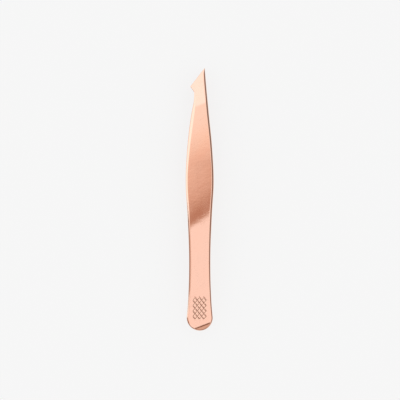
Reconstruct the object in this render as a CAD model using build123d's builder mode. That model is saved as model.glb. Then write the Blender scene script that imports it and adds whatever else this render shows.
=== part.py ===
from build123d import *
import math
import os

# Slant tweezers: two sprung steel blades, welded face to face at the heel.
#
# Frame, in millimetres: the tweezers lie on the flat of the rear blade's grip, on the plane z = 0.
# +Y points to the tips, +Z points out of the front blade, and the origin is the middle of the
# footprint. The blades mirror each other in the plane z = HALF_SPAN, the mid-plane.
#
# Each blade is one stamping that bends like a leaf spring just ahead of the weld. A rigid model
# needs a hinge there, so each blade is made as a heel, which stays still, and an arm, which turns.
#
# Places along the blade are "stations", measured from the heel's end. Heights are measured from
# the mid-plane, outwards. Both are given for the front blade; the rear blade is its mirror.

# Driving dimensions
LENGTH = 95.0  # heel end to the point of the slanted tip
HALF_SPAN = 5.4  # mid-plane to the outer flat of a grip
HEEL_RADIUS = 4.7  # the heel ends in a half circle
GRIP_HALF_WIDTH = 5.05  # widest place, under the finger and the thumb
EDGE_CHAMFER = 0.3  # broken outer edges

# Stations along the blade
WELD_END = 11.5  # the inner faces touch from the heel's end to here
HEEL_BEND = 14.0  # the heel's taper meets the handle's slope
FLEX = 21.0  # where the leaf spring's bend is gathered into one hinge line
CREST = 40.5  # the handle's slope meets the flat of the grip
WIDEST = 53.5
GRIP_END = 70.0  # the grip starts to fall towards the tip
TIP_FACET = 81.5  # the ground facet of the tip starts

# Heights above the mid-plane, and thicknesses of the sheet
HEEL_END_HEIGHT = 0.6
HEEL_BEND_HEIGHT = 1.75
HANDLE_THICKNESS = 1.25
GRIP_THICKNESS = 1.75
TIP_THICKNESS = 0.5  # at the point

# Slopes towards the mid-plane, in degrees
GRIP_FALL = 3.6
FACET_FALL = 7.5
INNER_FALL = 15.0

# Radii of the side profile's bends
HEEL_BEND_RADIUS = 25.0
WELD_END_RADIUS = 2.0
CREST_RADIUS = 50.0
GRIP_END_RADIUS = 300.0
INNER_GRIP_END_RADIUS = 100.0
INNER_TIP_RADIUS = 20.0

# Outline, seen square to the blade, as (x, station). Half widths are the same on both sides.
HALF_WIDTHS = ((4.4, 8.0), (4.06, 14.0), (3.84, 24.7), (4.41, 42.0), (GRIP_HALF_WIDTH, WIDEST), (4.5, 66.0))
POINT = (1.8, LENGTH)
BARB = (-3.35, 88.3)  # the hooked heel of the slanted edge
NECK = (-1.95, 86.3)  # behind the barb
RIGHT_TAPER = ((3.24, 79.0), (2.45, 87.5), POINT)
LEFT_TAPER = ((-2.9, 79.0), NECK)

# Slanted tip
FACET_TURN = 11.0  # the facet falls this many degrees away from the length, towards the barb

# Gripping land along the slanted edge, on the inside
LAND_WIDTH = 1.5
LAND_GAP = 0.02  # half the gap left between the two lands when the tips are closed
RELIEF_SLOPE = 8.0  # the inner face rises at this angle behind the land, in degrees
RELIEF_LENGTH = 7.0  # the relief runs out into the blade's inner face before this

# Gap between heel and arm at the flexure
FLEX_GAP = 0.05

# Spot welds between the two heels
NUGGET_RADIUS = 1.3
NUGGET_HALF_HEIGHT = 0.4
NUGGET_STATIONS = (4.0, 9.0)

# Engraved lattice of lozenges on the front heel
LATTICE_STATION = 8.0
LOZENGE_WIDTH = 1.6
LOZENGE_LENGTH = 1.95
LOZENGE_COLUMNS = 3
LOZENGE_ROWS = 4
GROOVE_WIDTH = 0.3
GROOVE_DEPTH = 0.1

HEEL_SLOPE = (HEEL_BEND_HEIGHT - HEEL_END_HEIGHT) / HEEL_BEND
OUTER_SLOPE = (HALF_SPAN - HEEL_BEND_HEIGHT) / (CREST - HEEL_BEND)
INNER_SLOPE = (HALF_SPAN - HANDLE_THICKNESS) / (CREST - WELD_END)
OVERRUN = 1.0  # how far the sheet runs past both ends before it is cut to its outline
REACH = 20.0  # longer than any cut needs to be


def along(station):
    """The y of a station."""
    return station - LENGTH / 2


def above(height):
    """The z of a height above the mid-plane, on the front blade."""
    return HALF_SPAN + height


def side_point(station, height):
    """A point of the side profile, in the axes of Plane.YZ."""
    return (along(station), above(height))


def drop(slope, length):
    """How far a surface falls over a length, at a slope in degrees."""
    return length * math.tan(math.radians(slope))


HINGE_HEIGHT = (
    HEEL_BEND_HEIGHT + OUTER_SLOPE * (FLEX - HEEL_BEND) + INNER_SLOPE * (FLEX - WELD_END)
) / 2
FACET_HEIGHT = HALF_SPAN - drop(GRIP_FALL, TIP_FACET - GRIP_END)
POINT_HEIGHT = FACET_HEIGHT - drop(FACET_FALL, LENGTH - TIP_FACET)
CLOSING_TURN = math.asin((POINT_HEIGHT - TIP_THICKNESS - LAND_GAP) / (LENGTH - FLEX))


def sprung_open(station, height):
    """Where a side point of the closed arm is when the arm is at rest, as (station, height)."""
    reach = station - FLEX
    rise = height - HINGE_HEIGHT
    return (
        FLEX + reach * math.cos(CLOSING_TURN) - rise * math.sin(CLOSING_TURN),
        HINGE_HEIGHT + reach * math.sin(CLOSING_TURN) + rise * math.cos(CLOSING_TURN),
    )


def flank(side, taper, end_direction):
    """One long edge of the blade, from the heel's half circle. side is 1 on the right, -1 left."""
    wide = [(side * half_width, along(station)) for half_width, station in HALF_WIDTHS]
    narrow = [(x, along(station)) for x, station in taper]
    return Spline(
        (side * HEEL_RADIUS, along(HEEL_RADIUS)),
        *wide,
        *narrow,
        tangents=((0, 1), end_direction),
    )


def blade_outline():
    """The outline without the barb: round heel, waist, wide grip, and flanks run past the tip."""
    end = along(LENGTH + OVERRUN)
    with BuildSketch(Plane.XY) as outline:
        with BuildLine():
            CenterArc((0, along(HEEL_RADIUS)), HEEL_RADIUS, 180, 180)
            right = flank(1, RIGHT_TAPER, (-0.12, 1))
            left = flank(-1, LEFT_TAPER, (0, 1))
            right_end = Line(right @ 1, (POINT[0], end))
            left_end = Line(left @ 1, (NECK[0], end))
            Line(left_end @ 1, right_end @ 1)
        make_face()
    return outline.sketch


def claw_outline():
    """The barb's part of the outline, with its root inside the blade."""
    root = (NECK[0] + 1, NECK[1])
    slant_middle = ((BARB[0] + POINT[0]) / 2, (BARB[1] + POINT[1]) / 2)
    with BuildSketch(Plane.XY) as outline:
        with BuildLine():
            Polyline(
                *((x, along(station)) for x, station in (root, NECK, BARB, slant_middle)),
                close=True,
            )
        make_face()
    return outline.sketch


def side_profile():
    """The bent sheet of the front blade, seen from the side, on a plane well clear of the blade."""
    end = LENGTH + OVERRUN
    inner_facet = FACET_HEIGHT - HANDLE_THICKNESS
    with BuildSketch(Plane.YZ.offset(-REACH)) as profile:
        with BuildLine():
            outer = FilletPolyline(
                side_point(-OVERRUN, HEEL_END_HEIGHT - HEEL_SLOPE * OVERRUN),
                side_point(HEEL_BEND, HEEL_BEND_HEIGHT),
                side_point(CREST, HALF_SPAN),
                side_point(GRIP_END, HALF_SPAN),
                side_point(end, HALF_SPAN - drop(GRIP_FALL, end - GRIP_END)),
                radius=(HEEL_BEND_RADIUS, CREST_RADIUS, GRIP_END_RADIUS),
            )
            inner = FilletPolyline(
                side_point(-OVERRUN, 0),
                side_point(WELD_END, 0),
                side_point(CREST, HALF_SPAN - HANDLE_THICKNESS),
                side_point(GRIP_END, HALF_SPAN - GRIP_THICKNESS),
                side_point(TIP_FACET, inner_facet),
                side_point(end, inner_facet - drop(INNER_FALL, end - TIP_FACET)),
                radius=(WELD_END_RADIUS, CREST_RADIUS, INNER_GRIP_END_RADIUS, INNER_TIP_RADIUS),
            )
            Line(outer @ 0, inner @ 0)
            Line(outer @ 1, inner @ 1)
        make_face()
    return profile.sketch


def lozenge(margin):
    """Corners of one lozenge of the lattice, grown by a margin on every side."""
    half_width = LOZENGE_WIDTH / 2
    half_length = LOZENGE_LENGTH / 2
    inner_radius = half_width * half_length / math.hypot(half_width, half_length)
    growth = 1 + margin / inner_radius
    return [
        (half_width * growth, 0),
        (0, half_length * growth),
        (-half_width * growth, 0),
        (0, -half_length * growth),
    ]


# Planes that grind the tip: each normal points into the metal that is taken away
slant = math.atan2(POINT[1] - BARB[1], POINT[0] - BARB[0])
slant_plane = Plane(
    origin=(POINT[0], along(POINT[1]), 0),
    z_dir=(-math.sin(slant), math.cos(slant), 0),
)
facet_plane = Plane(
    origin=(0, *side_point(TIP_FACET, FACET_HEIGHT)),
    z_dir=Vector(0, 0, 1).rotate(Axis.X, -FACET_FALL).rotate(Axis.Z, FACET_TURN),
)
land_plane = Plane(
    origin=(0, *side_point(*sprung_open(LENGTH, LAND_GAP))),
    z_dir=(0, math.sin(CLOSING_TURN), -math.cos(CLOSING_TURN)),
)

# The relief starts at the back of the land and rises square to the slanted edge
slanted_edge = Vector(math.cos(slant), math.sin(slant), 0)
land_back_x = POINT[0] + LAND_WIDTH * math.sin(slant)
land_back_station = POINT[1] - LAND_WIDTH * math.cos(slant)
relief_plane = Plane(
    origin=(land_back_x, *side_point(*sprung_open(land_back_station, LAND_GAP))),
    x_dir=slanted_edge,
    z_dir=land_plane.z_dir.rotate(Axis((0, 0, 0), slanted_edge), -RELIEF_SLOPE),
)

# Planes of the mirror, of the flexure's gap and of the engraving
mid_plane = Plane.XY.offset(HALF_SPAN)
flex_plane = Plane(
    origin=(0, *side_point(FLEX, HINGE_HEIGHT)),
    z_dir=(0, 1, OUTER_SLOPE),
)
engraving_plane = Plane(
    origin=(0, *side_point(LATTICE_STATION, HEEL_END_HEIGHT + HEEL_SLOPE * LATTICE_STATION)),
    x_dir=(1, 0, 0),
    z_dir=(0, -HEEL_SLOPE, 1),
)


# The barb of one blade
with BuildPart() as claw:
    add(side_profile())
    extrude(amount=2 * REACH, dir=(1, 0, 0))
    add(claw_outline())
    extrude(amount=REACH, dir=(0, 0, 1), mode=Mode.INTERSECT)

# One whole blade: the bent sheet is cut to its outline, its outer edges are broken, the barb is
# added and the tip is ground
with BuildPart() as blade:
    add(side_profile())
    extrude(amount=2 * REACH, dir=(1, 0, 0))
    add(blade_outline())
    extrude(amount=REACH, dir=(0, 0, 1), mode=Mode.INTERSECT)
    outer_faces = blade.faces().filter_by(lambda face: face.normal_at().Z > 0.9)
    walls = blade.faces().filter_by(lambda face: abs(face.normal_at().Z) < 0.3)
    end_wall = walls.sort_by(Axis.Y)[-1]
    outer_edges = outer_faces.edges() & walls.edges()
    chamfer(outer_edges - end_wall.edges(), length=EDGE_CHAMFER)
    add(claw.part)
    for ground_plane in (slant_plane, facet_plane, land_plane):
        split(bisect_by=ground_plane, keep=Keep.BOTTOM)
    with BuildSketch(relief_plane):
        Rectangle(REACH, 2 * RELIEF_LENGTH)
    extrude(amount=REACH, mode=Mode.SUBTRACT)


# Sub-parts

with BuildPart() as weld_nuggets:
    with Locations(*((0, along(station), HALF_SPAN) for station in NUGGET_STATIONS)):
        Cylinder(NUGGET_RADIUS, 2 * NUGGET_HALF_HEIGHT)
    chamfer(weld_nuggets.edges(), length=NUGGET_HALF_HEIGHT / 2)
weld_nuggets.part.label = "weld_nuggets"

with BuildPart() as plain_heel:
    add(blade.part)
    split(bisect_by=flex_plane.offset(-FLEX_GAP / 2), keep=Keep.BOTTOM)
    add(weld_nuggets.part, mode=Mode.SUBTRACT)

with BuildPart() as rear_heel:
    add(plain_heel.part)
    mirror(about=mid_plane, mode=Mode.REPLACE)
rear_heel.part.label = "rear_heel"

with BuildPart() as front_heel:
    add(plain_heel.part)
    with BuildSketch(engraving_plane):
        with GridLocations(LOZENGE_WIDTH, LOZENGE_LENGTH, LOZENGE_COLUMNS, LOZENGE_ROWS):
            Polygon(*lozenge(GROOVE_WIDTH / 2))
        with GridLocations(LOZENGE_WIDTH, LOZENGE_LENGTH, LOZENGE_COLUMNS, LOZENGE_ROWS):
            Polygon(*lozenge(-GROOVE_WIDTH / 2), mode=Mode.SUBTRACT)
    extrude(amount=-GROOVE_DEPTH, mode=Mode.SUBTRACT)
front_heel.part.label = "front_heel"

with BuildPart() as front_arm:
    add(blade.part)
    split(bisect_by=flex_plane.offset(FLEX_GAP / 2), keep=Keep.TOP)
front_arm.part.label = "front_arm"

with BuildPart() as rear_arm:
    add(front_arm.part)
    mirror(about=mid_plane, mode=Mode.REPLACE)
rear_arm.part.label = "rear_arm"

os.makedirs("parts", exist_ok=True)
for piece in (front_heel, rear_heel, weld_nuggets, front_arm, rear_arm):
    export_step(piece.part, f"parts/{piece.part.label}.step")
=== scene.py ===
import math

import bmesh
import bpy
import numpy as np
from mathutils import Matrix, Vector


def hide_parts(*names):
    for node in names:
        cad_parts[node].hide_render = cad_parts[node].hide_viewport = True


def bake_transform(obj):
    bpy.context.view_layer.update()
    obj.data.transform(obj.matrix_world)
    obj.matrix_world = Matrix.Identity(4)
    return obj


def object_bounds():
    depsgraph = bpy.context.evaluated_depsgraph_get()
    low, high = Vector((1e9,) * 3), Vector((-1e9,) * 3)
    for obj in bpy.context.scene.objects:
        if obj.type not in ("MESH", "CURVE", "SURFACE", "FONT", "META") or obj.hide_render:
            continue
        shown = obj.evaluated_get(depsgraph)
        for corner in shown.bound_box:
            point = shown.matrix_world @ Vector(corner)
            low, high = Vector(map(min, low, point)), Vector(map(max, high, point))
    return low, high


# Slant tweezers in polished rose gold. Each blade is drawn as one whole stamping that bends at the
# flexure; the CAD heels and arms stay behind the blades for collision.
#
# Places along a blade are "stations", in millimetres from the heel's end. Heights are measured
# from the mid-plane between the blades, outwards. Meshes are turned into metres at the end.

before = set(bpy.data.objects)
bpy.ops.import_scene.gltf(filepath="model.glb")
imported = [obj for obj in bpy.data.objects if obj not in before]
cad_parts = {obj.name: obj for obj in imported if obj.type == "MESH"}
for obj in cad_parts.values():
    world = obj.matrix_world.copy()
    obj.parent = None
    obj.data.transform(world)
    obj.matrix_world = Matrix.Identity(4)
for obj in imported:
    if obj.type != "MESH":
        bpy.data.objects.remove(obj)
cad_low, cad_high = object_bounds()

MM = 0.001
LENGTH = (cad_high.y - cad_low.y) / MM
HALF_SPAN = (cad_high.z - cad_low.z) / MM / 2

# Outline of a blade, as (x, station)
HEEL_RADIUS = 4.7
HALF_WIDTHS = ((4.4, 8.0), (4.06, 14.0), (3.84, 24.7), (4.41, 42.0), (5.05, 53.5), (4.5, 66.0))
POINT = (1.8, 95.0)
BARB = (-3.35, 88.3)
NECK = (-1.95, 86.3)
RIGHT_TAPER = ((3.24, 79.0), (2.45, 87.5), POINT)
LEFT_TAPER = ((-2.9, 79.0), (-2.05, 83.5), NECK)
POINT_BLUNTNESS = 0.05  # width of the blunted point

# Side profile of the outer face: its slope away from the mid-plane, as (station, degrees)
OUTER_SLOPES = (
    (0.0, 4.9), (12.5, 4.9), (15.5, 7.8), (35.0, 7.8), (38.3, 4.4), (40.1, 3.4), (41.5, 2.6),
    (43.0, 1.85), (44.5, 1.45), (46.5, 1.0), (49.5, 0.5), (53.0, 0.22), (57.0, 0.0), (60.6, 0.0),
    (79.4, -3.6), (96.0, -3.6),
)
HEEL_END_HEIGHT = 0.6
LEVEL_STATION = 58.0  # the outer face is level here, and at its highest
PROFILE_STEP = 0.05  # between the stations that the slopes are added up over

# Side profile of the inner face, as (station, height)
INNER_CORNERS = (
    (0.0, 0.0), (11.5, 0.0), (40.5, 4.15), (70.0, 3.65), (81.5, 3.4265), (96.0, -0.4588),
)
INNER_ROUNDING = 2.2  # the inner corners are rounded over this far each way
ROUNDING_SAMPLES = 15

# Ground tip: a facet outside, and inside a gripping land with a relief behind it
TIP_FACET = 81.5
FACET_FALL = math.radians(7.5)
FACET_TURN = math.radians(11.0)
FACET_SOFTNESS = 0.02
LAND_WIDTH = 1.5
LAND_POINT_HEIGHT = 2.399
LAND_SOFTNESS = 0.01
CLOSING_TURN = math.radians(1.8424)
RELIEF_SLOPE = math.radians(8.0)
RELIEF_LENGTH = 7.0
RELIEF_SOFTNESS = 0.03
NO_RELIEF = -1.0  # a height below the whole inner face

# Crown of the outer face, as a share of the half width, by (station, crown)
CROWN = (
    (0.0, 0.0), (30.0, 0.0), (38.0, 0.023), (42.0, 0.018), (46.0, 0.011), (52.0, 0.006),
    (96.0, 0.006),
)

# Ground end of the heel: a shallow facet
HEEL_FACET_STATION = 1.25
HEEL_FACET_LEAN = 0.27  # how far its edge runs along the blade, for each step across it
HEEL_FACET_FALL = math.radians(16.5)
HEEL_FACET_SOFTNESS = 0.2

# Engraved lattice of lozenges
LATTICE_STATION = 8.0
LOZENGE_WIDTH = 1.6
LOZENGE_LENGTH = 1.95
LATTICE_HALF_WIDTH = 2.4
LATTICE_HALF_LENGTH = 3.9
GROOVE_HALF_WIDTH = 0.22
GROOVE_DEPTH = 0.12


# ---------------------------------------------------------------- the faces of one blade

def hermite(table, at):
    """A smooth curve through (value, station) pairs, whose slopes are taken across each pair."""
    values = np.array([row[0] for row in table], float)
    stations = np.array([row[1] for row in table], float)
    slopes = np.gradient(values, stations)
    at = np.clip(np.asarray(at, float), stations[0], stations[-1])
    index = np.clip(np.searchsorted(stations, at, side="right") - 1, 0, len(stations) - 2)
    gap = stations[index + 1] - stations[index]
    t = (at - stations[index]) / gap
    return (
        (2 * t**3 - 3 * t**2 + 1) * values[index]
        + (t**3 - 2 * t**2 + t) * gap * slopes[index]
        + (3 * t**2 - 2 * t**3) * values[index + 1]
        + (t**3 - t**2) * gap * slopes[index + 1]
    )


def soft_min(a, b, softness):
    """The lower of two surfaces, with their crease rounded."""
    share = np.clip(0.5 + 0.5 * (b - a) / softness, 0, 1)
    return b + (a - b) * share - softness * share * (1 - share)


def soft_max(a, b, softness):
    """The higher of two surfaces, with their crease rounded."""
    return -soft_min(-a, -b, softness)


def flank(side, taper, stations):
    """The x of one long edge of the blade. side is 1 on the right, -1 on the left."""
    wide = [(side * half_width, station) for half_width, station in HALF_WIDTHS]
    x = hermite([(side * HEEL_RADIUS, HEEL_RADIUS), *wide, *taper], stations)
    past_centre = np.clip(HEEL_RADIUS - np.asarray(stations, float), 0, HEEL_RADIUS)
    on_arc = side * np.sqrt(HEEL_RADIUS**2 - past_centre**2)
    return np.where(past_centre > 0, on_arc, x)


def outer_profile():
    """Fine (stations, heights) of the outer face, added up from its slopes."""
    stations = np.arange(-1.0, LENGTH + 1.0, PROFILE_STEP)
    slopes = np.interp(stations, *zip(*OUTER_SLOPES))
    climb = np.cumsum(np.tan(np.radians(slopes)) * PROFILE_STEP)
    climb = climb - np.interp(0, stations, climb)
    scale = (HALF_SPAN - HEEL_END_HEIGHT) / climb.max()
    heights = np.where(
        stations < LEVEL_STATION,
        HEEL_END_HEIGHT + climb * scale,
        HALF_SPAN + climb - climb.max(),
    )
    return stations, heights


OUTER_PROFILE = outer_profile()


def outer_height(x, station):
    """Height of the outer face, with its crown, its ground tip and its ground heel end."""
    height = np.interp(station, *OUTER_PROFILE)
    half_width = (flank(1, RIGHT_TAPER, station) - flank(-1, LEFT_TAPER, station)) / 2
    crown = np.interp(station, *zip(*CROWN))
    height = height - crown * half_width * (x / np.maximum(half_width, 1)) ** 2

    tip_start = np.interp(TIP_FACET, *OUTER_PROFILE)
    tip_run = math.sin(FACET_TURN) * x - math.cos(FACET_TURN) * (station - TIP_FACET)
    height = soft_min(height, tip_start + math.tan(FACET_FALL) * tip_run, FACET_SOFTNESS)

    heel_start = np.interp(HEEL_FACET_STATION, *OUTER_PROFILE)
    heel_run = station - (HEEL_FACET_STATION + HEEL_FACET_LEAN * x)
    heel_facet = heel_start + math.tan(HEEL_FACET_FALL) * heel_run
    return soft_min(height, heel_facet, HEEL_FACET_SOFTNESS)


def land_height(station):
    """Height of the ground gripping land at rest: it's level once the arm has closed."""
    return LAND_POINT_HEIGHT - math.tan(CLOSING_TURN) * (LENGTH - station)


def behind_edge(x, station):
    """Distance behind the slanted edge, square to it."""
    slant = math.atan2(POINT[1] - BARB[1], POINT[0] - BARB[0])
    return (x - POINT[0]) * math.sin(slant) - (station - POINT[1]) * math.cos(slant)


def inner_height(x, station):
    """Height of the inner face, with the land and the relief of the tip."""
    steps = np.linspace(-INNER_ROUNDING, INNER_ROUNDING, ROUNDING_SAMPLES)
    corners = tuple(zip(*INNER_CORNERS))
    rounded = sum(np.interp(station + step, *corners) for step in steps) / len(steps)
    behind_land = behind_edge(x, station) - LAND_WIDTH
    relief = land_height(station) + math.tan(RELIEF_SLOPE) * behind_land
    relief = np.where(behind_land < RELIEF_LENGTH, relief, NO_RELIEF)
    relieved = soft_max(rounded, relief, RELIEF_SOFTNESS)
    return soft_max(relieved, land_height(station), LAND_SOFTNESS)


def groove_depth(x, station):
    """Depth of the engraving: lines along both diagonals of the lozenges."""
    across = x / LOZENGE_WIDTH
    along = (station - LATTICE_STATION) / LOZENGE_LENGTH
    pitch = LOZENGE_WIDTH * LOZENGE_LENGTH / math.hypot(LOZENGE_WIDTH, LOZENGE_LENGTH)
    lines = [(across + turn * along) % 1.0 for turn in (-1, 1)]
    nearest = np.minimum(*(np.minimum(line, 1 - line) for line in lines)) * pitch
    in_width = np.abs(x) < LATTICE_HALF_WIDTH
    in_length = np.abs(station - LATTICE_STATION) < LATTICE_HALF_LENGTH
    return GROOVE_DEPTH * (in_width & in_length) * np.clip(1 - nearest / GROOVE_HALF_WIDTH, 0, 1)


def engraved_height(x, station):
    """Height of the outer face with the lattice engraved in it."""
    return outer_height(x, station) - groove_depth(x, station)


# ---------------------------------------------------------------- the mesh of one blade

LOZENGE_STEPS = 20  # mesh steps along a lozenge, and across it
LATTICE_START = LATTICE_STATION - LATTICE_HALF_LENGTH
LATTICE_END = LATTICE_STATION + LATTICE_HALF_LENGTH
LATTICE_RUNGS = round(2 * LATTICE_HALF_LENGTH / LOZENGE_LENGTH * LOZENGE_STEPS)

# Rungs run across the blade from its left edge to its right edge, and lean where a ground facet
# starts: (left station, right station, rungs up to here).
RUNGS = (
    (0.62, 2.35, 16),
    (LATTICE_START, LATTICE_START, 12),
    (LATTICE_END, LATTICE_END, LATTICE_RUNGS),
    (36.0, 36.0, 40),
    (56.0, 56.0, 64),
    (78.0, 78.0, 40),
    (81.03, 82.08, 16),
    (NECK[1], 87.0, 18),
    (BARB[1], 88.0, 12),
    (LENGTH, LENGTH, 40),
)

# Columns run along the blade
PLAIN_COLUMNS = 41
INNER_COLUMNS = 25
LATTICE_SIDE_COLUMNS = 13  # on each side of the lattice
MOST_LATTICE_SHARE = 0.66  # the most of a rung that the middle columns take, where it's short
LEAST_HALF_WIDTH = 0.1  # a rung counts as at least this wide, since the heel's end has no width

# How far the rounding of the long edges reaches in over the outer face, by (station, reach)
LEFT_ROUNDING = (
    (0.0, 0.35), (4.0, 0.6), (20.0, 0.72), (50.0, 0.68), (57.0, 0.68), (66.0, 0.95), (74.0, 1.15),
    (79.0, 1.1), (84.0, 0.5), (86.0, 0.09), (95.0, 0.08),
)
RIGHT_ROUNDING = (
    (0.0, 0.35), (4.0, 0.55), (20.0, 0.65), (44.0, 0.85), (66.0, 0.85), (80.0, 0.9), (90.0, 0.85),
    (93.5, 0.7), (94.4, 0.4), (95.0, 0.1),
)
LEFT_POINT_SHARE = 0.12  # the most of the claw's width that each rounding may take
RIGHT_POINT_SHARE = 0.45
ROUNDING_DROP = 0.62  # depth of the rounding as a share of its reach
MOST_DROP_SHARE = 0.45  # the most of the blade's thickness that the rounding may take

# Section of the rounding, outwards: a soft start, a nearly flat bevel, then a small corner.
# (share of the reach still to go, share of the drop).
EDGE_SECTION = (
    (1.0, 0.0), (0.97, 0.004), (0.71, 0.084), (0.62, 0.134), (0.5, 0.215),
    (0.35, 0.33), (0.2, 0.45), (0.07, 0.56), (0.02, 0.72), (0.0, 1.0),
)
BURR = 0.08  # small rounding of the inner edges
BURR_RINGS = 4

LEAST_CORNER = 0.5  # keeps the inward step short at the outline's sharpest corners
GROOVE_REACH = 1.5 * GROOVE_DEPTH  # points nearer the outer face than this may lie in a groove
SAME_POINT = 1e-6  # points nearer to each other than this, in metres, become one
SLIVER = 1e-7  # edges shorter than this, in metres, are dropped


def edge_point(side, station):
    """The outline's point at a station. Both long edges climb all the way to the point."""
    taper = RIGHT_TAPER if side > 0 else LEFT_TAPER
    x = flank(side, taper, station)
    if side < 0:
        claw_x, claw_stations = zip(NECK, BARB, POINT)
        x = np.where(station > NECK[1], np.interp(station, claw_stations, claw_x), x)
    return np.stack([x, station], axis=-1)


def rungs():
    """Left and right stations of every rung, closer together round the heel's end."""
    left, right, count = RUNGS[0]
    turn = np.linspace(0, 1, count + 1) ** 2
    lefts, rights = [left * turn], [right * turn]
    for (from_left, from_right, _), (left, right, count) in zip(RUNGS, RUNGS[1:]):
        step = np.arange(1, count + 1) / count
        lefts.append(from_left + (left - from_left) * step)
        rights.append(from_right + (right - from_right) * step)
    return np.concatenate(lefts), np.concatenate(rights)


def inward(loop):
    """For each point of the loop, the step that moves both its edges in by 1 mm."""
    after = np.roll(loop, -1, axis=0) - loop
    after /= np.linalg.norm(after, axis=1, keepdims=True)
    before = np.roll(after, 1, axis=0)
    normal = np.stack([after[:, 1] + before[:, 1], -after[:, 0] - before[:, 0]], axis=1)
    normal /= np.linalg.norm(normal, axis=1, keepdims=True)
    lean = np.maximum(normal[:, 0] * after[:, 1] - normal[:, 1] * after[:, 0], LEAST_CORNER)
    return normal / lean[:, None]


def plain_columns(count):
    """A rule that spaces the columns evenly along a rung, from -1 to 1."""
    return lambda half_width: np.linspace(-1, 1, count)


def lattice_columns(half_width):
    """Places of the columns along a rung, from -1 to 1. The middle ones match the lattice."""
    middle = min(LATTICE_HALF_WIDTH / max(half_width, LEAST_HALF_WIDTH), MOST_LATTICE_SHARE)
    steps = round(2 * LATTICE_HALF_WIDTH / LOZENGE_WIDTH * LOZENGE_STEPS)
    inner = np.linspace(-middle, middle, steps + 1)
    outer = np.linspace(middle, 1, LATTICE_SIDE_COLUMNS + 1)[1:]
    return np.concatenate([-outer[::-1], inner, outer])


def lattice_ridge(x, station):
    """1 or -1 for the way the nearest groove runs, 0 away from the engraving."""
    if abs(x) > LATTICE_HALF_WIDTH or abs(station - LATTICE_STATION) > LATTICE_HALF_LENGTH:
        return 0
    half_step = 0.5 / LOZENGE_STEPS
    across = x / LOZENGE_WIDTH + half_step
    along = (station - LATTICE_STATION) / LOZENGE_LENGTH + half_step
    rising, falling = ((across + turn * along) % 1.0 for turn in (-1, 1))
    return 1 if min(rising, 1 - rising) < min(falling, 1 - falling) else -1


class Outline:
    """A blade's outline as one closed loop: up its left edge, over the point, down its right."""

    def __init__(self):
        lefts, rights = rungs()
        left = edge_point(-1, lefts)
        right = edge_point(1, rights)
        left[-1, 0] -= POINT_BLUNTNESS
        self.rung_count = len(lefts)
        self.loop = np.concatenate([left, right[:0:-1]])
        self.inwards = inward(self.loop)
        self.reach = self.rounding_reach(np.linalg.norm(right - left, axis=1))
        x, station = self.loop.T
        thickness = outer_height(x, station) - inner_height(x, station)
        self.drop = np.minimum(self.reach * ROUNDING_DROP, MOST_DROP_SHARE * thickness)

    def rounding_reach(self, width):
        """How far the rounding reaches in. Near the point both edges' roundings have to fit."""
        station = self.loop[:, 1]
        reach = np.where(
            np.arange(len(self.loop)) < self.rung_count,
            np.interp(station, *zip(*LEFT_ROUNDING)),
            np.interp(station, *zip(*RIGHT_ROUNDING)),
        )
        most = np.concatenate([LEFT_POINT_SHARE * width, RIGHT_POINT_SHARE * width[:0:-1]])
        return np.where(station > NECK[1], np.minimum(reach, most), reach)

    def moved_in(self, inset):
        """The loop moved in by one distance, or by one for each of its points."""
        return self.loop + self.inwards * np.broadcast_to(inset, len(self.loop))[:, None]

    def ring(self, inset, height, step):
        """The moved loop at a step above a face, with its first point repeated to close it."""
        flat = self.moved_in(inset)
        row = np.column_stack([flat, height(flat[:, 0], flat[:, 1]) + step])
        return np.vstack([row, row[:1]])

    def across(self, inset, height, columns):
        """Rows of points on a face, from the left side of the moved loop to its right side."""
        flat = self.moved_in(inset)
        left = flat[: self.rung_count]
        right = np.vstack([flat[:1], flat[: self.rung_count - 1: -1]])
        rows = []
        for rung, (start, end) in enumerate(zip(left, right)):
            shares = (columns((end[0] - start[0]) / 2) + 1) / 2
            if rung == self.rung_count - 1:
                shares = np.round(shares)  # the blunted point has only its two corners
            x, station = (start + shares[:, None] * (end - start)).T
            rows.append(np.column_stack([x, station, height(x, station)]))
        return rows


class Patchwork:
    """Vertices and faces of one blade, in millimetres: (x, station, height)."""

    def __init__(self):
        self.points = []
        self.faces = []
        self.satin = []
        self.count = 0

    def grid(self, rows, satin, ridge=None):
        """Join equal rows of points into faces. ridge picks the diagonal of each square."""
        rows = np.asarray(rows)
        height, width, _ = rows.shape
        start = self.count
        self.points.append(rows.reshape(-1, 3))
        self.count += height * width
        for row in range(height - 1):
            for column in range(width - 1):
                first = start + row * width + column
                square = (first, first + 1, first + width + 1, first + width)
                x, station, _ = rows[row, column]
                faces = self.cut(square, ridge(x, station) if ridge else 0)
                self.faces.extend(faces)
                self.satin.extend([satin] * len(faces))

    @staticmethod
    def cut(square, turn):
        """The whole square when turn is 0, or the two triangles beside one of its diagonals."""
        if turn == 0:
            return [square]
        a, b, c, d = square
        if turn > 0:
            return [(a, b, c), (a, c, d)]
        return [(a, b, d), (b, c, d)]


def blade_mesh(name, side, engraved):
    """One blade, outside the mid-plane on the given side: 1 in front, -1 behind."""
    outline = Outline()
    outer_rings = [
        outline.ring(outline.reach * left_over, outer_height, -outline.drop * fall)
        for left_over, fall in EDGE_SECTION
    ]
    inner_rings = [
        outline.ring(BURR * (1 - math.cos(turn)), inner_height, BURR * (1 - math.sin(turn)))
        for turn in np.linspace(0, math.pi / 2, BURR_RINGS)
    ]
    inside = outline.across(BURR, inner_height, plain_columns(INNER_COLUMNS))
    patches = Patchwork()
    patches.grid(outer_rings + inner_rings[:1], satin=False)
    patches.grid(inner_rings, satin=True)
    if engraved:
        outside = outline.across(outline.reach, engraved_height, lattice_columns)
        patches.grid(outside, satin=False, ridge=lattice_ridge)
    else:
        outside = outline.across(outline.reach, outer_height, plain_columns(PLAIN_COLUMNS))
        patches.grid(outside, satin=False)
    patches.grid([row[::-1] for row in inside], satin=True)
    return to_object(name, patches, side, engraved)


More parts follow.
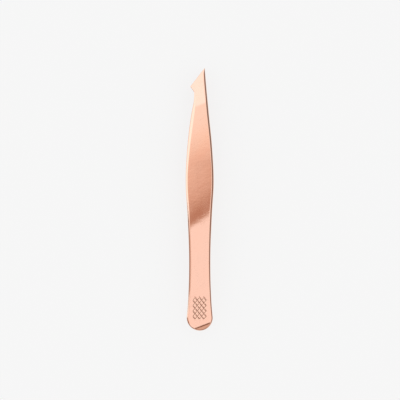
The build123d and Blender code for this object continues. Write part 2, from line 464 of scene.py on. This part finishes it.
def to_object(name, patches, side, engraved):
    """Turn a patchwork into a mesh object in metres, in the shared frame."""
    x, station, height = np.concatenate(patches.points).T
    placed = np.column_stack([x, station - LENGTH / 2, HALF_SPAN + side * height])
    faces = [face[::side] for face in patches.faces]
    mesh = bpy.data.meshes.new(name)
    mesh.from_pydata(placed * MM, [], faces)
    mesh.polygons.foreach_set("material_index", np.array(patches.satin, dtype=np.int32))
    note_grooves(mesh, x, station, height, engraved)
    weld_seams(mesh)
    mesh.polygons.foreach_set("use_smooth", np.ones(len(mesh.polygons), dtype=bool))
    blade = bpy.data.objects.new(name, mesh)
    bpy.context.collection.objects.link(blade)
    return blade


def note_grooves(mesh, x, station, height, engraved):
    """Give each point its depth in a groove, from 0 to 1, for the material's painted groove shade
    and rougher grooves.
    """
    carved = groove_depth(x, station) / GROOVE_DEPTH
    on_outside = height > outer_height(x, station) - GROOVE_REACH
    depth = mesh.attributes.new("groove", "FLOAT", "POINT")
    depth.data.foreach_set("value", (carved * on_outside * engraved).astype(np.float32))


def weld_seams(mesh):
    """Merge the points that patches share, and drop faces that have no area."""
    work = bmesh.new()
    work.from_mesh(mesh)
    bmesh.ops.remove_doubles(work, verts=work.verts, dist=SAME_POINT)
    bmesh.ops.dissolve_degenerate(work, edges=work.edges, dist=SLIVER)
    bmesh.ops.recalc_face_normals(work, faces=work.faces)
    work.to_mesh(mesh)
    work.free()
    mesh.validate()


# ---------------------------------------------------------------- shader nodes

class Nodes:
    """Builds one tree of shader nodes. All methods but add and feed give back a node's output."""

    def __init__(self, tree):
        self.tree = tree

    def add(self, kind):
        return self.tree.nodes.new(kind)

    def feed(self, socket, given):
        """Give a socket a plain value, or link another node's output to it."""
        if isinstance(given, bpy.types.NodeSocket):
            self.tree.links.new(given, socket)
        else:
            socket.default_value = given

    def place(self, stretch, turn=0.0):
        """The point on the piece in metres, turned by so many degrees, then scaled by stretch."""
        here = self.add("ShaderNodeTexCoord")
        turned = self.add("ShaderNodeMapping")
        self.feed(turned.inputs["Vector"], here.outputs["Object"])
        self.feed(turned.inputs["Rotation"], (0, 0, math.radians(turn)))
        scaled = self.add("ShaderNodeMapping")
        self.feed(scaled.inputs["Vector"], turned.outputs["Vector"])
        self.feed(scaled.inputs["Scale"], stretch)
        return scaled.outputs["Vector"]

    def noise(self, vector, scale, detail):
        texture = self.add("ShaderNodeTexNoise")
        self.feed(texture.inputs["Vector"], vector)
        self.feed(texture.inputs["Scale"], scale)
        self.feed(texture.inputs["Detail"], detail)
        return texture.outputs["Fac"]

    def maths(self, operation, *values):
        node = self.add("ShaderNodeMath")
        node.operation = operation
        for socket, given in zip(node.inputs, values):
            self.feed(socket, given)
        return node.outputs[0]

    def remap(self, value, low, high, to_low=0.0, to_high=1.0, kind="LINEAR"):
        """value's range from low to high becomes to_low to to_high, and stops there."""
        node = self.add("ShaderNodeMapRange")
        node.interpolation_type = kind
        self.feed(node.inputs["Value"], value)
        limits = (("From Min", low), ("From Max", high), ("To Min", to_low), ("To Max", to_high))
        for socket, number in limits:
            self.feed(node.inputs[socket], number)
        return node.outputs["Result"]

    def mix(self, factor, a, b, kind="FLOAT"):
        """A mix of two values, or of two colours when kind is RGBA."""
        node = self.add("ShaderNodeMix")
        node.data_type = kind
        inputs, output = {"FLOAT": ((0, 2, 3), 0), "RGBA": ((0, 6, 7), 2)}[kind]
        for index, given in zip(inputs, (factor, a, b)):
            self.feed(node.inputs[index], given)
        return node.outputs[output]

    def bump(self, height, distance, below=None):
        """A bump of so many metres, on top of another one if given."""
        node = self.add("ShaderNodeBump")
        self.feed(node.inputs["Height"], height)
        self.feed(node.inputs["Distance"], distance)
        if below is not None:
            self.feed(node.inputs["Normal"], below)
        return node.outputs["Normal"]

    def background(self, colour):
        node = self.add("ShaderNodeBackground")
        self.feed(node.inputs["Color"], colour)
        return node.outputs[0]

    def mix_shaders(self, factor, a, b):
        node = self.add("ShaderNodeMixShader")
        for socket, given in zip(node.inputs, (factor, a, b)):
            self.feed(socket, given)
        return node.outputs[0]


# ---------------------------------------------------------------- materials

ROSE_GOLD = (0.94, 0.58, 0.44, 1.0)
WORN_GOLD = (0.95, 0.66, 0.53, 1.0)
SCRATCH_GOLD = (0.80, 0.45, 0.33, 1.0)
# Painted shade: the darker gold that the engraved grooves get, standing in for the shade in them
PAINTED_GROOVE_SHADE = (0.62, 0.31, 0.21, 1.0)
SATIN_GOLD = (0.86, 0.53, 0.40, 1.0)
WELD_STEEL = (0.56, 0.54, 0.52, 1.0)
HEAT_TINT = (0.47, 0.37, 0.27, 1.0)
SCRATCH_STRENGTH = 0.3
MICRON = 0.000001


def new_material(name):
    """An empty metal material, with a builder for its nodes and its shader's inputs."""
    material = bpy.data.materials.new(name)
    material.use_nodes = True
    shader = material.node_tree.nodes["Principled BSDF"]
    shader.inputs["Metallic"].default_value = 1.0
    return material, Nodes(material.node_tree), shader.inputs


def hairlines(nodes, turn, scale, thinness):
    """Broken thin scratches: the level lines of a stretched noise, kept only in patches."""
    level = nodes.noise(nodes.place((4, 0.12, 4), turn), scale, 0.0)
    lines = nodes.maths("COMPARE", level, 0.5, thinness)
    patches = nodes.noise(nodes.place((1, 0.4, 1), turn), scale * 0.8, 1.0)
    return nodes.maths("MULTIPLY", lines, nodes.remap(patches, 0.5, 0.62))


def polished_gold():
    """Mirror polish: long faint polishing lines, handling haze, worn edges, painted groove shade.
    """
    material, nodes, shader = new_material("polished_rose_gold")
    haze = nodes.noise(nodes.place((1, 0.6, 1)), 260.0, 4.0)
    long_lines = hairlines(nodes, 4.0, 420.0, 0.008)
    cross_lines = hairlines(nodes, 58.0, 300.0, 0.005)
    groove = nodes.add("ShaderNodeAttribute")
    groove.attribute_name = "groove"
    groove_shade_and_roughness = nodes.remap(groove.outputs["Fac"], 0.35, 1.0, 0.0, 0.85)
    shape = nodes.add("ShaderNodeNewGeometry")
    edge = nodes.remap(shape.outputs["Pointiness"], 0.515, 0.56, 0.0, 0.7)
    worn = nodes.maths("MULTIPLY", edge, nodes.remap(haze, 0.42, 0.58, 0.2, 1.0))

    hazy = nodes.remap(haze, 0.35, 0.65, 0.0, 0.16)
    plate = nodes.mix(hazy, ROSE_GOLD, WORN_GOLD, "RGBA")
    plate = nodes.mix(worn, plate, WORN_GOLD, "RGBA")
    for lines in (long_lines, cross_lines):
        strength = nodes.remap(lines, 0.0, 1.0, 0.0, SCRATCH_STRENGTH)
        plate = nodes.mix(strength, plate, SCRATCH_GOLD, "RGBA")
    # Painted shade in the grooves: the base colour darkens towards the bottom of the engraving
    nodes.feed(shader["Base Color"], nodes.mix(groove_shade_and_roughness, plate, PAINTED_GROOVE_SHADE, "RGBA"))

    roughness = nodes.mix(nodes.remap(haze, 0.4, 0.62), 0.055, 0.11)
    roughness = nodes.mix(worn, roughness, 0.2)
    nodes.feed(shader["Roughness"], nodes.mix(groove_shade_and_roughness, roughness, 0.35))

    # From broad waves down to single scratches, with the height of each in microns
    waves = nodes.noise(nodes.place((1, 0.35, 1)), 180.0, 1.0)
    ripples = nodes.noise(nodes.place((0.8, 1.3, 1)), 560.0, 1.0)
    dimples = nodes.noise(nodes.place((1, 1, 1)), 1400.0, 2.0)
    polishing = nodes.noise(nodes.place((9, 0.35, 9)), 900.0, 5.0)
    swirls = nodes.noise(nodes.place((2, 5, 2)), 1500.0, 2.0)
    reliefs = (
        (waves, 12), (ripples, 5), (dimples, 2), (polishing, 0.5), (swirls, 0.4),
        (long_lines, 0.8), (cross_lines, 0.8),
    )
    normal = None
    for height, microns in reliefs:
        normal = nodes.bump(height, microns * MICRON, normal)
    nodes.feed(shader["Normal"], normal)
    return material


def satin_gold():
    """The inner faces: plated over a fine lengthways brushing, so they are duller."""
    material, nodes, shader = new_material("satin_rose_gold")
    brushing = nodes.noise(nodes.place((14, 0.25, 14)), 700.0, 6.0)
    patches = nodes.noise(nodes.place((1, 1, 1)), 300.0, 3.0)
    plate = nodes.mix(nodes.remap(brushing, 0.35, 0.65), SATIN_GOLD, ROSE_GOLD, "RGBA")
    nodes.feed(shader["Base Color"], plate)
    nodes.feed(shader["Roughness"], nodes.mix(patches, 0.24, 0.4))
    nodes.feed(shader["Normal"], nodes.bump(brushing, 6 * MICRON))
    return material


def weld_steel():
    """The spot welds inside the heel: bare steel with a grainy, heat-tinted skin."""
    material, nodes, shader = new_material("weld_steel")
    grain = nodes.noise(nodes.place((1, 1, 1)), 2600.0, 6.0)
    tinted = nodes.mix(nodes.remap(grain, 0.4, 0.6), WELD_STEEL, HEAT_TINT, "RGBA")
    nodes.feed(shader["Base Color"], tinted)
    nodes.feed(shader["Roughness"], nodes.mix(grain, 0.35, 0.6))
    nodes.feed(shader["Normal"], nodes.bump(grain, 20 * MICRON))
    return material


# ---------------------------------------------------------------- the piece

polished = polished_gold()
satin = satin_gold()

for label, side, engraved in (("front", 1, True), ("rear", -1, False)):
    blade = blade_mesh(label + "_blade", side, engraved)
    blade.data.materials.append(polished)
    blade.data.materials.append(satin)
    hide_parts(label + "_heel", label + "_arm")
    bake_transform(blade)

nuggets = bpy.data.objects["weld_nuggets"]
nuggets.data.materials.clear()
nuggets.data.materials.append(weld_steel())


# ---------------------------------------------------------------- studio

WHITE = (1.0, 1.0, 1.0, 1.0)
PAPER = 0.925  # brightness of the lit paper under and behind the object
FLOOR_TONE = 0.12  # the part of the floor's brightness that a shadow can darken
FLOOR_HALF_SIZE = 3.0  # metres
FLOOR_DROP = 0.00002  # metres below the object

# The studio the polish mirrors. Each stop is how far the mirrored ray leans towards the lower
# right of the picture, and the light that comes from there.
LIGHT_STOPS = (
    (-1.00, (0.74, 0.74, 0.74)),
    (-0.60, (1.04, 1.08, 1.10)),
    (-0.34, (1.20, 1.38, 1.46)),
    (-0.24, (1.14, 1.20, 1.24)),
    (-0.11, (1.08, 1.05, 1.03)),
    (-0.060, (1.04, 0.93, 0.85)),
    (-0.025, (0.93, 0.74, 0.66)),
    (0.000, (0.825, 0.66, 0.585)),
    (0.012, (0.78, 0.59, 0.51)),
    (0.035, (0.62, 0.43, 0.345)),
    (0.050, (0.53, 0.325, 0.25)),
    (0.098, (0.52, 0.315, 0.24)),
    (0.113, (0.60, 0.42, 0.34)),
    (0.150, (1.07, 1.04, 1.06)),
    (0.345, (1.07, 1.04, 1.06)),
    (0.365, (0.27, 0.18, 0.14)),
    (0.470, (0.27, 0.18, 0.14)),
    (0.505, (0.74, 0.60, 0.54)),
    (1.00, (0.60, 0.55, 0.52)),
)
LEAN_TO_RIGHT = 0.65  # how much a step of X counts in the lean, beside a step of Y
MOST_TO_RIGHT = 0.12  # X counts no further than this

# Cards round the studio. Along an axis of the mirrored ray, each has a soft edge: it isn't there
# at the first number, and is all there at the second.
RIGHT_GLOW = (1.10, 1.07, 1.09, 1.0)
RIGHT_GLOW_X = (0.17, 0.30)
RIGHT_DARK = (0.23, 0.215, 0.20, 1.0)
RIGHT_DARK_X = (0.42, 0.58)
LEFT_BRIGHT = (1.25, 1.42, 1.46, 1.0)
LEFT_BRIGHT_X = (-0.28, -0.42)
LEFT_BRIGHT_LOW_Y = (-0.15, -0.07)
LEFT_BRIGHT_HIGH_Y = (0.55, 0.38)
LOW_DARK = (0.28, 0.21, 0.18, 1.0)
LOW_DARK_Y = (0.10, -0.03)
LOW_DARK_Z = (0.80, 0.62)
HORIZON = (0.82, 0.78, 0.75, 1.0)
HORIZON_Z = (0.55, 0.36)


def light_ramp(nodes, x, y):
    """The light by how far the mirrored ray leans, which the ramp takes from -1 to 1."""
    sideways = nodes.maths("MULTIPLY", nodes.maths("MINIMUM", x, MOST_TO_RIGHT), LEAN_TO_RIGHT)
    lean = nodes.maths("SUBTRACT", sideways, y)
    ramp = nodes.add("ShaderNodeValToRGB")
    nodes.feed(ramp.inputs["Fac"], nodes.maths("MULTIPLY_ADD", lean, 0.5, 0.5))
    for _ in LIGHT_STOPS[2:]:
        ramp.color_ramp.elements.new(0.5)
    for element, (at, colour) in zip(ramp.color_ramp.elements, LIGHT_STOPS):
        element.position = (at + 1) / 2
        element.color = (*colour, 1.0)
    return ramp.outputs["Color"]


def mirrored_studio(nodes):
    """The light that the metal mirrors, for the direction of the mirrored ray."""

    def soft_edge(axis, limits):
        return nodes.remap(axis, *limits, kind="SMOOTHSTEP")

    def both(a, b):
        return nodes.maths("MULTIPLY", a, b)

    direction = nodes.add("ShaderNodeTexCoord")
    split = nodes.add("ShaderNodeSeparateXYZ")
    nodes.feed(split.inputs["Vector"], direction.outputs["Generated"])
    x, y, z = split.outputs
    left_ends = both(soft_edge(y, LEFT_BRIGHT_LOW_Y), soft_edge(y, LEFT_BRIGHT_HIGH_Y))
    at_left = both(soft_edge(x, LEFT_BRIGHT_X), left_ends)
    at_low = both(soft_edge(z, LOW_DARK_Z), soft_edge(y, LOW_DARK_Y))
    cards = (
        (soft_edge(x, RIGHT_GLOW_X), RIGHT_GLOW),
        (soft_edge(x, RIGHT_DARK_X), RIGHT_DARK),
        (at_left, LEFT_BRIGHT),
        (both(at_low, nodes.maths("SUBTRACT", 1.0, at_left)), LOW_DARK),
        (soft_edge(z, HORIZON_Z), HORIZON),
    )
    light = light_ramp(nodes, x, y)
    for weight, colour in cards:
        light = nodes.mix(weight, light, colour, "RGBA")
    return light


def studio_world():
    """Even white light for paper and shadows, and a soft studio for the metal to mirror."""
    world = bpy.data.worlds.new("studio")
    bpy.context.scene.world = world
    world.use_nodes = True
    even = world.node_tree.nodes["Background"]
    even.inputs["Color"].default_value = WHITE
    even.inputs["Strength"].default_value = 1.0
    nodes = Nodes(world.node_tree)
    mirrored = nodes.background(mirrored_studio(nodes))
    backdrop = nodes.background((PAPER, PAPER, PAPER, 1.0))
    ray = nodes.add("ShaderNodeLightPath")
    light = nodes.mix_shaders(ray.outputs["Is Glossy Ray"], even.outputs[0], mirrored)
    light = nodes.mix_shaders(ray.outputs["Is Camera Ray"], light, backdrop)
    nodes.feed(world.node_tree.nodes["World Output"].inputs["Surface"], light)


def paper_floor():
    """Back-lit white paper, which takes only a faint shadow."""
    corners = [
        (x * FLOOR_HALF_SIZE, y * FLOOR_HALF_SIZE, -FLOOR_DROP)
        for x, y in ((-1, -1), (1, -1), (1, 1), (-1, 1))
    ]
    mesh = bpy.data.meshes.new("floor")
    mesh.from_pydata(corners, [], [(0, 1, 2, 3)])
    floor = bpy.data.objects.new("floor", mesh)
    bpy.context.collection.objects.link(floor)
    material = bpy.data.materials.new("lit_paper")
    material.use_nodes = True
    shader = material.node_tree.nodes["Principled BSDF"]
    shader.inputs["Base Color"].default_value = (FLOOR_TONE, FLOOR_TONE, FLOOR_TONE, 1.0)
    shader.inputs["Roughness"].default_value = 0.9
    shader.inputs["Specular IOR Level"].default_value = 0.0
    shader.inputs["Emission Color"].default_value = WHITE
    shader.inputs["Emission Strength"].default_value = PAPER - FLOOR_TONE
    mesh.materials.append(material)


# The camera looks straight down on the broad face, with the point upwards in the picture.
CAMERA_DISTANCE = 1.6  # metres above the object's top
SENSOR_WIDTH = 36.0
FRAME_WIDTH = 144.33  # millimetres across the picture at the object
CAMERA_X = 0.1  # where the camera stands over the frame's origin, in millimetres
CAMERA_Y = -0.23


def overhead_camera():
    data = bpy.data.cameras.new("camera")
    data.sensor_width = SENSOR_WIDTH
    data.lens = SENSOR_WIDTH * CAMERA_DISTANCE / (FRAME_WIDTH * MM)
    data.clip_end = 20.0
    camera = bpy.data.objects.new("camera", data)
    camera.location = (CAMERA_X * MM, CAMERA_Y * MM, CAMERA_DISTANCE + 2 * HALF_SPAN * MM)
    bpy.context.collection.objects.link(camera)
    bpy.context.scene.camera = camera


studio_world()
paper_floor()
overhead_camera()
bpy.context.scene.view_settings.view_transform = "Standard"
